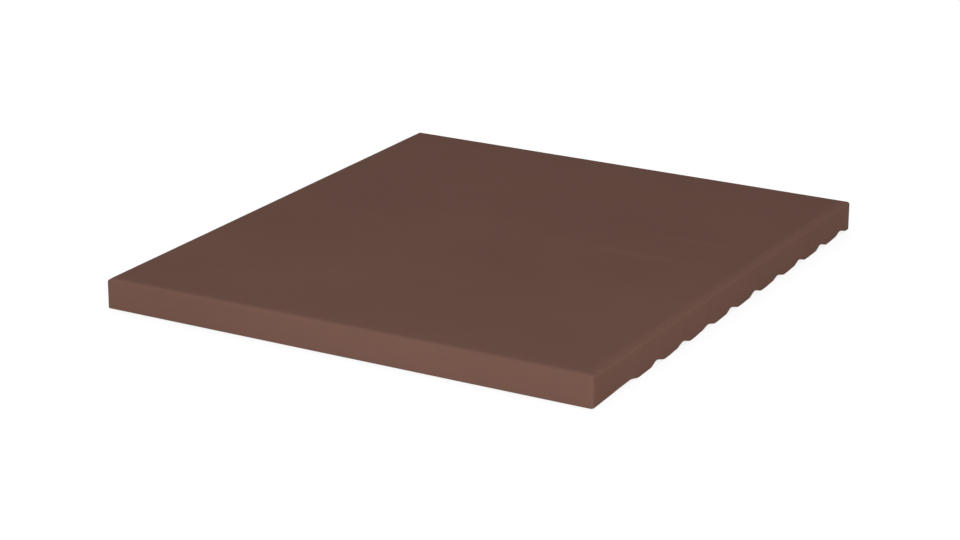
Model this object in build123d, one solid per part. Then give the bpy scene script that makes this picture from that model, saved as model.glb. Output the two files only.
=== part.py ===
from build123d import *
import os

# Clinker floor tile: one piece of clay, fired until it is dense. The clay leaves a die as a flat ribbon
# with a grooved back, and a wire cuts the ribbon into tiles, so one section runs from end to end.
# X runs along the grooves, Y from the front edge to the back edge, and Z up from the feet of the ribs.
# The origin is under the middle of the tile, in the plane of the rib feet.

# Overall size
tile_length = 245.0  # along the grooves, between the two wire cuts
tile_width = 275.0  # across the grooves, between the two edges that the die forms
tile_thickness = 14.0  # from the feet of the ribs to the walking face

# Grooved back. Behind its flat foot a rib rises slowly, and then more steeply up into the next groove.
groove_pitch = 25.5
first_groove = 33.5  # from the front edge to the middle of the first groove
groove_depth = 2.0
groove_root = 2.0  # across the flat at the top of the groove
front_flank_run = 4.0  # across the flank of a groove that is nearer the front
back_flank_run = 6.5  # across the flank of a groove that is nearer the back
rib_foot = 3.5  # across the flat foot of a rib
rib_rise = 0.8  # how far a rib has risen where the next groove's front flank starts
groove_root_radius = 3.0
back_flank_radius = 6.0  # where a back flank comes down onto the foot of a rib
rib_radius = 20.0  # where the foot of a rib turns into its slow rise
front_flank_radius = 8.0  # where the slow rise turns into a front flank

# Front and back margins
front_lift = 0.3  # the front edge stays this far above the rib feet
front_foot = 2.5  # the front margin is level this far back, and then rises to the first groove
least_back_foot = 4.0  # no groove comes nearer to the back edge than this

# Edges
arris_radius = 1.3  # all round the walking face
corner_ease = 0.2  # the upright corners are this much rounder than the arris
under_edge_radius = 0.6  # all round the back

front = -tile_width / 2
back_flank_end = groove_root / 2 + back_flank_run
groove_room = tile_width - first_groove - back_flank_end - least_back_foot
groove_count = int(groove_room / groove_pitch) + 1
groove_places = [front + first_groove + number * groove_pitch for number in range(groove_count)]


def back_outline():
    """Corners of the grooved back, from the front edge to the back edge, as (Y, Z) points."""
    points = [(front, front_lift), (front + front_foot, front_lift)]
    for middle in groove_places:
        if middle > groove_places[0]:
            points.append((middle - groove_pitch + back_flank_end + rib_foot, 0))
            points.append((middle - groove_root / 2 - front_flank_run, rib_rise))
        points.append((middle - groove_root / 2, groove_depth))
        points.append((middle + groove_root / 2, groove_depth))
        points.append((middle + back_flank_end, 0))
    points.append((front + tile_width, 0))
    return points


def corners_at(section, height):
    """Corners of the section at this height, from the front edge to the back edge."""
    return section.vertices().filter_by_position(Axis.Y, height - 0.01, height + 0.01).sort_by(Axis.X)


def tile_section():
    """The die's section, with Y to the right and Z up: a flat top, square sides and the grooved back."""
    top = [(front + tile_width, tile_thickness), (front, tile_thickness)]
    section = make_face(Polyline(back_outline() + top, close=True))
    section = fillet(corners_at(section, groove_depth), groove_root_radius)
    section = fillet(corners_at(section, front_lift)[1], rib_radius)
    section = fillet(corners_at(section, rib_rise), front_flank_radius)
    # A rib foot starts at a back flank and ends at a slow rise, and the last one ends at the back edge.
    section = fillet(corners_at(section, 0)[0:-1:2], back_flank_radius)
    return fillet(corners_at(section, 0)[1:-1:2], rib_radius)


ribbon = extrude(Plane.YZ * tile_section(), amount=tile_length / 2, both=True)
tile = fillet(ribbon.edges().filter_by(Axis.Z), arris_radius + corner_ease)
tile = fillet(tile.faces().sort_by(Axis.Z)[-1].edges(), arris_radius)
# The outline of the back is one smooth chain, so its rounding runs on from the front edge all the way round.
front_face = tile.faces().sort_by(Axis.Y)[0]
tile = fillet(front_face.edges().sort_by(Axis.Z)[0], under_edge_radius)

os.makedirs("parts", exist_ok=True)
tile.label = "tile"
export_step(tile, "parts/tile.step")
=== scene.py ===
from math import cos, radians, sin
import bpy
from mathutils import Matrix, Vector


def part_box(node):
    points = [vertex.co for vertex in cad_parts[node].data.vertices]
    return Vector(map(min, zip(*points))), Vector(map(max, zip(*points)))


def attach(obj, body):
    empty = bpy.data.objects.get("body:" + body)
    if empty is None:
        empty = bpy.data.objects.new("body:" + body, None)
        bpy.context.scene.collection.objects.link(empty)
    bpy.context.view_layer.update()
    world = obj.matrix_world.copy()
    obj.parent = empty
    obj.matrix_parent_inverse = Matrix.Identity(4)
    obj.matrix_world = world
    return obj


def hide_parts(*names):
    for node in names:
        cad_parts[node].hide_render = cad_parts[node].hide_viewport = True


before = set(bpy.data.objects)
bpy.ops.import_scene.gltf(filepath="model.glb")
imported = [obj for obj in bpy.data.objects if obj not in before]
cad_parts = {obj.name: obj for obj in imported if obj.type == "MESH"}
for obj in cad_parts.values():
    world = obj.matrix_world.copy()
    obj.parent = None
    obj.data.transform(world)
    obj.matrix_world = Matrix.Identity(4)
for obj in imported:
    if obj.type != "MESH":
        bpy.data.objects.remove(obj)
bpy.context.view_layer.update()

from types import SimpleNamespace

import bpy
from mathutils import Matrix, Vector

# Clinker tile
# The tile is one slab of brown clay. A die extrudes it as a ribbon with a grooved back, a wire cuts it
# off, and the kiln fires it until it is dense, matt and unglazed. It lies loose on the feet of its ribs.

millimetre = 0.001
tile_low, tile_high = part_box("tile")
tile_size = (tile_high - tile_low) / millimetre

# Sizes in millimetres: first the die's, and from Groove Drift on, how uneven this one tile came out
die_sizes = {
    "Length": tile_size.x,
    "Width": tile_size.y,
    "Thickness": tile_size.z,
    "Arris Radius": 1.3,
    "Corner Radius": 1.5,
    "Under Edge Radius": 0.4,
    "Groove Pitch": 25.5,
    "First Groove": 33.5,
    "Groove Count": 10.0,
    "Groove Depth": 2.0,
    "Groove Root": 2.0,
    "Front Flank Run": 4.0,
    "Back Flank Run": 6.5,
    "Rib Foot": 3.5,
    "Rib Rise": 0.8,
    "Front Lift": 0.3,
    "Front Foot": 2.5,
    "Groove Drift": 1.5,
    "Depth Spread": 0.1,
    "First Groove Share": 0.8,
    "Rise Spread": 0.85,
    "Face Swell": 0.05,
    "Die Streak": 0.05,
    "Cut Drag": 0.1,
    "Front Ease": 5.6,
    "Front Ease Depth": 0.15,
    "Seed": 69748.0,
}


def add_node(tree, kind, feeds, **settings):
    """Adds a node, feeds its inputs from wires or plain values, and returns it."""
    node = tree.nodes.new(kind)
    for name, value in settings.items():
        setattr(node, name, value)
    pairs = feeds.items() if isinstance(feeds, dict) else enumerate(feeds)
    for key, feed in pairs:
        if isinstance(feed, Wire):
            tree.links.new(feed.socket, node.inputs[key])
        else:
            node.inputs[key].default_value = feed
    return node


def worked_out(tree, kind, feeds, output=0, **settings):
    """Adds a node and returns the wire from one of its outputs."""
    return Wire(add_node(tree, kind, feeds, **settings).outputs[output])


class Wire:
    """A value on its way through a node tree. Sums and products of wires add their own nodes."""

    def __init__(self, socket):
        self.socket = socket
        self.tree = socket.id_data

    def math(self, operation, *others):
        """Adds a Math node that starts from this value."""
        return worked_out(self.tree, "ShaderNodeMath", [self, *others], operation=operation)

    def __add__(self, other):
        return self.math("ADD", other)

    def __sub__(self, other):
        return self.math("SUBTRACT", other)

    def __mul__(self, other):
        return self.math("MULTIPLY", other)

    def __truediv__(self, other):
        return self.math("DIVIDE", other)

    def less_from(self, whole):
        """This value taken away from a whole."""
        return self * -1.0 + whole

    def at_least(self, least):
        """This value, but never less than the least."""
        return self.math("MAXIMUM", least)

    def within(self, reach):
        """This value, but never further from zero than the reach."""
        return self.math("MINIMUM", reach).math("MAXIMUM", reach * -1.0)

    def fade(self, start, end, low=0.0, high=1.0):
        """Goes from low to high as this value goes from start to end, and is level outside that."""
        return worked_out(self.tree, "ShaderNodeMapRange", [self, start, end, low, high])


def split(vector):
    """The three parts of a wire that carries a place."""
    node = add_node(vector.tree, "ShaderNodeSeparateXYZ", [vector])
    return [Wire(socket) for socket in node.outputs]


def clay_noise(place, waves, seed, detail=2.0):
    """Noise from 0 to 1 over places in millimetres, with its own wave length along X, Y and Z."""
    eased = worked_out(place.tree, "ShaderNodeVectorMath", [place, waves], operation="DIVIDE")
    feeds = {"Vector": eased, "W": seed, "Scale": 1.0, "Detail": detail}
    return worked_out(place.tree, "ShaderNodeTexNoise", feeds, noise_dimensions="4D")


def spaced(along, half, rim, rows, rim_rows):
    """Spreads a row of points evenly from side to side, with the outermost close together."""
    out = along.math("ABSOLUTE")
    rim_start = 1.0 - 2.0 * rim_rows / (rows - 1)
    inner = out.fade(0.0, rim_start, 0.0, half - rim)
    outer = out.fade(rim_start, 1.0, 0.0, rim)
    return (inner + outer) * along.math("SIGN")


# Where the clay goes
ribbon = bpy.data.node_groups.new("extruded_tile", "GeometryNodeTree")
ribbon.interface.new_socket("Tile", in_out="OUTPUT", socket_type="NodeSocketGeometry")
sockets = {}
for name in die_sizes:
    sockets[name] = ribbon.interface.new_socket(name, in_out="INPUT", socket_type="NodeSocketFloat")
sockets["Clay"] = ribbon.interface.new_socket("Clay", in_out="INPUT", socket_type="NodeSocketMaterial")
sizes_in = ribbon.nodes.new("NodeGroupInput")
die = SimpleNamespace()
for name in die_sizes:
    setattr(die, name.lower().replace(" ", "_"), Wire(sizes_in.outputs[name]))

# The slab starts as a block from -1 to 1 each way, with rows of points that crowd towards its edges
block_size = (2.0, 2.0, 2.0)
rows_along = 70
rows_across = 520
rows_up = 20
rim_rows = 5
rim_share = 1.1
slab = worked_out(ribbon, "GeometryNodeMeshCube", [block_size, rows_along, rows_across, rows_up])
along, across, up = split(worked_out(ribbon, "GeometryNodeInputPosition", []))
half_length = die.length / 2.0
half_width = die.width / 2.0
half_thickness = die.thickness / 2.0
rim = die.corner_radius * rim_share
x = spaced(along, half_length, rim, rows_along, rim_rows)
y = spaced(across, half_width, rim, rows_across, rim_rows)
height = spaced(up, half_thickness, rim, rows_up, rim_rows)

# The upright corners are rounded first, then the edges of the walking face and of the back
core_x = x.within(half_length - die.corner_radius)
core_y = y.within(half_width - die.corner_radius)
over_x = x - core_x
over_y = y - core_y
reach = over_x.math("ABSOLUTE").math("MAXIMUM", over_y.math("ABSOLUTE"))
diagonal = (over_x * over_x + over_y * over_y).math("SQRT")
out_x = over_x / diagonal
out_y = over_y / diagonal
on_top = height.math("GREATER_THAN", 0.0)
radius = die.under_edge_radius + (die.arris_radius - die.under_edge_radius) * on_top
over_side = (reach - (die.corner_radius - radius)).at_least(0.0)
over_level = (height.math("ABSOLUTE") - (half_thickness - radius)).at_least(0.0)
slant = (over_side * over_side + over_level * over_level).math("SQRT")
squareness = over_side.math("MAXIMUM", over_level) / slant
drawn_in = over_side * squareness.less_from(1.0)
x = core_x + out_x * (reach - drawn_in)
y = core_y + out_y * (reach - drawn_in)
z = half_thickness + height - height.math("SIGN") * over_level * squareness.less_from(1.0)

# The grooved back: each groove is a little off its place, and the front margin rises to the first
rib_softness = 0.3
root_softness = 0.4
foot_softness = 0.3
lifted_share = 0.6
from_front = y + half_width
front_flank_start = die.groove_root / 2.0 + die.front_flank_run
back_flank_end = die.groove_root / 2.0 + die.back_flank_run
shared_foot = (back_flank_end + die.rib_foot / 2.0) / die.groove_pitch
number = ((from_front - die.first_groove) / die.groove_pitch - shared_foot).math("CEIL")
number = number.at_least(0.0).math("MINIMUM", die.groove_count - 1.0)
chance = add_node(ribbon, "ShaderNodeTexWhiteNoise", {"W": number + die.seed}, noise_dimensions="1D")
drift = (Wire(chance.outputs["Value"]) - 0.5) * 2.0 * die.groove_drift
at_margin = number.math("LESS_THAN", 0.5)
chances = split(Wire(chance.outputs["Color"]))
depth = die.groove_depth * ((chances[1] - 0.5) * 2.0 * die.depth_spread + 1.0)
first_depth = die.groove_depth * die.first_groove_share
depth = depth + (first_depth - depth) * at_margin
rise = die.rib_rise * (chances[2] * die.rise_spread).less_from(1.0)
from_middle = from_front - die.first_groove - number * die.groove_pitch - drift
slow_run = die.groove_pitch - back_flank_end - die.rib_foot - front_flank_start
into_flank = from_middle + front_flank_start
slow_rise = into_flank * (rise / slow_run) + rise
flank_rise = into_flank * ((depth - rise) / die.front_flank_run) + rise
margin_run = die.first_groove - die.groove_root / 2.0 - die.front_foot
margin_slope = (first_depth - die.front_lift) / margin_run
margin = (from_front - die.front_foot).at_least(0.0) * margin_slope + die.front_lift
front_flank = slow_rise.math("SMOOTH_MAX", flank_rise, rib_softness)
front_flank = front_flank + (margin - front_flank) * at_margin
back_flank = (back_flank_end - from_middle) * (depth / die.back_flank_run)
roof = front_flank.math("SMOOTH_MIN", depth, root_softness)
roof = roof.math("SMOOTH_MIN", back_flank, root_softness)
groove = roof.math("SMOOTH_MAX", 0.0, foot_softness)
groove_share = z.fade(0.0, die.thickness * lifted_share, 1.0, 0.0)

# Marks of making, all pressed inwards: swells of the face, die streaks, wire drag and the eased front
swell_waves = (55.0, 40.0, 40.0)
streak_waves = (160.0, 1.6, 1.6)
drag_waves = (9.0, 2.6, 40.0)
place = worked_out(ribbon, "ShaderNodeCombineXYZ", [x, y, z])
face_share = z.fade(die.thickness - die.arris_radius, die.thickness)
swell = clay_noise(place, swell_waves, die.seed, detail=1.0).fade(0.3, 0.7) * die.face_swell
streak = clay_noise(place, streak_waves, die.seed).fade(0.3, 0.7) * die.die_streak
back_share = z.fade(0.0, die.under_edge_radius, 1.0, 0.0)
edge_share = y.math("ABSOLUTE").fade(half_width - die.corner_radius, half_width)
cut_share = x.math("ABSOLUTE").fade(half_length - die.corner_radius, half_length)
drag = clay_noise(place, drag_waves, die.seed + 1.0, detail=3.0).fade(0.3, 0.7) * die.cut_drag
front_ease = from_front.fade(die.arris_radius, die.front_ease, 1.0, 0.0)
marked_x = x - x.math("SIGN") * drag * cut_share
marked_y = y - y.math("SIGN") * streak * edge_share
pressed = (swell + front_ease * front_ease * die.front_ease_depth) * face_share
marked_z = z + groove * groove_share + streak * back_share - pressed

finished = slab
marks = {"cut_face": cut_share, "arris": squareness.less_from(1.0)}
for name, mark in marks.items():
    feeds = {"Geometry": finished, "Name": name, "Value": mark}
    finished = worked_out(ribbon, "GeometryNodeStoreNamedAttribute", feeds)
marked = worked_out(ribbon, "ShaderNodeCombineXYZ", [marked_x, marked_y, marked_z])
feeds = [marked, (millimetre, millimetre, millimetre)]
in_metres = worked_out(ribbon, "ShaderNodeVectorMath", feeds, operation="MULTIPLY")
feeds = {"Geometry": finished, "Position": in_metres}
finished = worked_out(ribbon, "GeometryNodeSetPosition", feeds)
feeds = {"Geometry": finished, "Shade Smooth": True}
finished = worked_out(ribbon, "GeometryNodeSetShadeSmooth", feeds)
finished = worked_out(ribbon, "GeometryNodeRealizeInstances", [finished])
feeds = {"Geometry": finished, "Material": Wire(sizes_in.outputs["Clay"])}
finished = worked_out(ribbon, "GeometryNodeSetMaterial", feeds)
add_node(ribbon, "NodeGroupOutput", [finished])


def linear(red, green, blue):
    """A colour as it looks on a screen, 0 to 255, as the light that a shader counts in."""
    parts = [value / 255.0 for value in (red, green, blue)]
    return (*(((part + 0.055) / 1.055) ** 2.4 for part in parts), 1.0)


# How the fired clay looks
dark_clay = linear(88, 63, 55)
pale_clay = linear(119, 88, 77)
iron_brown = linear(52, 38, 36)
clay = bpy.data.materials.new("fired_clay")
clay.use_nodes = True
look = clay.node_tree
shader = look.nodes["Principled BSDF"]
object_place = worked_out(look, "ShaderNodeTexCoord", [], output="Object")
per_metre = 1.0 / millimetre
feeds = [object_place, (per_metre, per_metre, per_metre)]
spot = worked_out(look, "ShaderNodeVectorMath", feeds, operation="MULTIPLY")


def mark_on_clay(name):
    """A mark that the die or the wire left, as stored on the mesh."""
    return worked_out(look, "ShaderNodeAttribute", [], output="Fac", attribute_name=name)


cut_face = mark_on_clay("cut_face")
worn = mark_on_clay("arris").fade(0.05, 0.29)
die_face = cut_face.less_from(1.0)
mottle = clay_noise(spot, (70.0, 55.0, 60.0), seed=3.0, detail=1.0) - 0.5
cloud = clay_noise(spot, (14.0, 9.0, 9.0), seed=5.0, detail=3.0) - 0.5
grain = clay_noise(spot, (0.55, 0.55, 0.55), seed=7.0) - 0.5
die_lines = clay_noise(spot, (120.0, 1.1, 1.1), seed=9.0, detail=3.0) - 0.5
wire_lines = clay_noise(spot, (20.0, 1.4, 30.0), seed=11.0, detail=3.0) - 0.5
pores = clay_noise(spot, (0.35, 0.35, 0.35), seed=13.0, detail=3.0)
tone = mottle * 0.22 + cloud * 0.12 + grain * 0.2
tone = tone + die_lines * die_face * 0.1 + wire_lines * cut_face * 0.2 + 0.5

# The Mix node's sockets for two colours and for the mix of them go by number
first_colour = 6
second_colour = 7
mixed_colour = 2
feeds = {"Factor": tone, first_colour: dark_clay, second_colour: pale_clay}
body_colour = worked_out(
    look, "ShaderNodeMix", feeds, output=mixed_colour, data_type="RGBA", clamp_factor=True
)

# Painted light: the top is painted paler along its front and right edges, like the lit faces there
# Painted shade darkens the die faces slowly towards the back, and the cut faces are a touch paler in
# their own colour.
strip_top = tile_size.z - 0.2
strip_foot = tile_size.z - 0.45
right_width = 4.6
right_mitre = 9.0
right_painted_paleness = 0.115
front_painted_paleness = 0.25
front_painted_haze = 0.09
front_painted_light = 0.025
back_painted_shade = -0.055
cut_flash = 0.025
spot_x, spot_y, spot_z = split(spot)
in_from_cut = spot_x.less_from(tile_size.x / 2.0)
in_from_front = spot_y + tile_size.y / 2.0
on_face = spot_z.fade(strip_foot, strip_top)
wander = clay_noise(spot, (30.0, 22.0, 30.0), seed=15.0).fade(0.25, 0.75, -0.4, 0.4)
right_reach = in_from_front.fade(0.0, right_mitre, 0.0, right_width)
right_softness = in_from_front.fade(35.0, 180.0, 1.6, 0.5)
right_softness = right_softness.math("MINIMUM", in_from_front.fade(5.0, 35.0, 0.5, 1.6))
# The right strip is painted light: the top's right edge gets the tone of the lit right face.
right_painted_strip = ((right_reach + wander - in_from_cut) / right_softness).fade(-1.0, 1.0)
right_painted_strip = right_painted_strip * right_reach.fade(0.3, 1.2) * right_painted_paleness
front_reach = in_from_front - wander + in_from_cut.fade(0.0, tile_size.x)
# The front strip is painted light: the top's front edge gets the tone of the lit front face.
front_painted_strip = front_reach.fade(2.2, 5.4, front_painted_paleness, 0.0)
front_painted_strip = front_painted_strip + front_reach.fade(1.4, 9.5, front_painted_haze, 0.0)
painted_edge_light = right_painted_strip.math("MAXIMUM", front_painted_strip) * on_face
# Painted light and shade: the die faces are painted paler at the front and darker towards the back, and
# the cut faces are paler in their own colour.
painted_falloff_and_cut_paleness = in_from_front.fade(0.0, tile_size.y, front_painted_light, back_painted_shade) * die_face
painted_falloff_and_cut_paleness = painted_falloff_and_cut_paleness + cut_face * cut_flash


def die_streak(place, start, end, width):
    """A pale streak along the grooves: its place from the front, and its two ends from the cut."""
    taper = 10.0
    beside = (in_from_front - place).math("ABSOLUTE").fade(0.0, width, 1.0, 0.0)
    return beside * in_from_cut.fade(start, start + taper) * in_from_cut.fade(end - taper, end, 1.0, 0.0)


streak_paleness = 0.05
streaks = die_streak(180.0, 14.0, 72.0, 3.0) + die_streak(150.0, 33.0, 76.0, 4.0)
paleness = painted_edge_light + painted_falloff_and_cut_paleness + streaks * on_face * streak_paleness + 1.0
feeds = {"Vector": body_colour, "Scale": paleness}
paled = worked_out(look, "ShaderNodeVectorMath", feeds, operation="SCALE")

# Specks of iron, one in some of the cells of clay
speck_cell = 5.0
speck_radius = 0.055
speck_edge = 0.02
speck_strength = 0.55
feeds = [spot, (speck_cell, speck_cell, speck_cell)]
speck_place = worked_out(look, "ShaderNodeVectorMath", feeds, operation="DIVIDE")
specks = add_node(look, "ShaderNodeTexVoronoi", {"Vector": speck_place, "Scale": 1.0})
speck_size = split(Wire(specks.outputs["Color"]))[0].fade(0.75, 1.0, 0.0, speck_radius)
speck = (speck_size - Wire(specks.outputs["Distance"])).fade(0.0, speck_edge) * speck_strength
feeds = {"Factor": speck, first_colour: paled, second_colour: iron_brown}
speckled = worked_out(look, "ShaderNodeMix", feeds, output=mixed_colour, data_type="RGBA")

roughness = cloud * 0.12 + grain * 0.1 + cut_face * 0.06 - worn * 0.05 + 0.78
tooth = pores * (cut_face * 0.6 + 0.4) + die_lines * die_face * 0.5 + wire_lines * cut_face
feeds = {"Strength": 0.35, "Distance": 0.05 * millimetre, "Height": tooth}
bump = worked_out(look, "ShaderNodeBump", feeds, output="Normal")
look.links.new(speckled.socket, shader.inputs["Base Color"])
look.links.new(roughness.socket, shader.inputs["Roughness"])
look.links.new(bump.socket, shader.inputs["Normal"])
shader.inputs["Specular IOR Level"].default_value = 0.01

tile = bpy.data.objects.new("clinker_tile", bpy.data.meshes.new("clinker_tile"))
bpy.context.scene.collection.objects.link(tile)
extrusion = tile.modifiers.new("extruded_tile", "NODES")
extrusion.node_group = ribbon
for name, value in die_sizes.items():
    extrusion[sockets[name].identifier] = value
extrusion[sockets["Clay"].identifier] = clay
depsgraph = bpy.context.evaluated_depsgraph_get()
fired = bpy.data.meshes.new_from_object(
    tile.evaluated_get(depsgraph), preserve_all_data_layers=True, depsgraph=depsgraph
)
tile.modifiers.remove(extrusion)
tile.data = fired
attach(tile, "root")
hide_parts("tile")

# Floor
# The floor is a plain white studio table that the tile lies on, and nothing is fixed to it.
# It looks white wherever no shadow falls on it, and it throws soft light back up at the tile.

floor_half = 4.0
floor_drop = 0.0001
table_white = (0.9, 0.9, 0.9, 1.0)
shadow_grey = (0.26, 0.26, 0.26, 1.0)
glow_white = (1.0, 1.0, 1.0, 1.0)
glow_strength = 0.82
floor_mesh = bpy.data.meshes.new("studio_floor")
floor_sides = [(-1.0, -1.0), (1.0, -1.0), (1.0, 1.0), (-1.0, 1.0)]
floor_corners = [(side * floor_half, end * floor_half, -floor_drop) for side, end in floor_sides]
floor_mesh.from_pydata(floor_corners, [], [(0, 1, 2, 3)])
floor = bpy.data.objects.new("studio_floor", floor_mesh)
bpy.context.scene.collection.objects.link(floor)


def seen_directly(tree):
    """1 for a ray that shows the studio itself, straight or in a shine, and 0 for one that lights."""
    ray = tree.nodes.new("ShaderNodeLightPath")
    straight = Wire(ray.outputs["Is Camera Ray"])
    shine = Wire(ray.outputs["Is Glossy Ray"])
    through = Wire(ray.outputs["Is Transmission Ray"])
    return (straight + shine + through).math("MINIMUM", 1.0)


white = bpy.data.materials.new("white_table")
white.use_nodes = True
table = white.node_tree
table.nodes.clear()
plain = worked_out(table, "ShaderNodeBsdfDiffuse", {"Color": table_white})
shaded = worked_out(table, "ShaderNodeBsdfDiffuse", {"Color": shadow_grey})
glow = worked_out(table, "ShaderNodeEmission", {"Color": glow_white, "Strength": glow_strength})
lit = worked_out(table, "ShaderNodeAddShader", [shaded, glow])
surface = worked_out(table, "ShaderNodeMixShader", [seen_directly(table), plain, lit])
add_node(table, "ShaderNodeOutputMaterial", [surface])
floor_mesh.materials.append(white)

# Light and camera
# A white room lights the tile softly from all sides, and it looks white itself.
# A wide lamp stands low in front of the tile and brings out its front edge.

room_white = (1.0, 1.0, 1.0, 1.0)
room_strength = 0.7
room = bpy.data.worlds.new("white_room")
room.use_nodes = True
bpy.context.scene.world = room
sky = room.node_tree
background = sky.nodes["Background"]
background.inputs["Color"].default_value = room_white
strength = seen_directly(sky).fade(0.0, 1.0, room_strength, 1.0)
sky.links.new(strength.socket, background.inputs["Strength"])

lamp_side = radians(27.0)
lamp_height = radians(16.0)
lamp_distance = 1.5
lamp_aim = Vector((0.0, -0.06, 0.01))
level = cos(lamp_height)
lamp_way = Vector((sin(lamp_side) * level, -cos(lamp_side) * level, sin(lamp_height)))
lamp_light = bpy.data.lights.new("front_lamp", "AREA")
lamp_light.shape = "RECTANGLE"
lamp_light.size = 0.9
lamp_light.size_y = 0.45
lamp_light.energy = 13.0
lamp = bpy.data.objects.new("front_lamp", lamp_light)
lamp.location = lamp_aim + lamp_way * lamp_distance
lamp.rotation_euler = lamp_way.to_track_quat("Z", "Y").to_euler()
bpy.context.scene.collection.objects.link(lamp)

# The camera looks down on the front right corner from a little over a metre away
photo_width = 960.0
focal_pixels = 2735.0
camera_pitch = radians(19.0)
camera_roll = radians(-0.2)
camera_turn = radians(-29.38)
tile_from_camera = Vector((6.88, 1.43, -1285.23)) * millimetre
lens = bpy.data.cameras.new("photo_camera")
lens.sensor_fit = "HORIZONTAL"
lens.sensor_width = 36.0
lens.lens = focal_pixels * lens.sensor_width / photo_width
view = Matrix.Rotation(camera_roll, 4, "Z")
view = view @ Matrix.Rotation(camera_pitch - radians(90.0), 4, "X")
view = view @ Matrix.Rotation(camera_turn, 4, "Z")
view.translation = tile_from_camera
camera = bpy.data.objects.new("photo_camera", lens)
camera.matrix_world = view.inverted()
bpy.context.scene.collection.objects.link(camera)
bpy.context.scene.camera = camera
bpy.context.scene.view_settings.view_transform = "Standard"
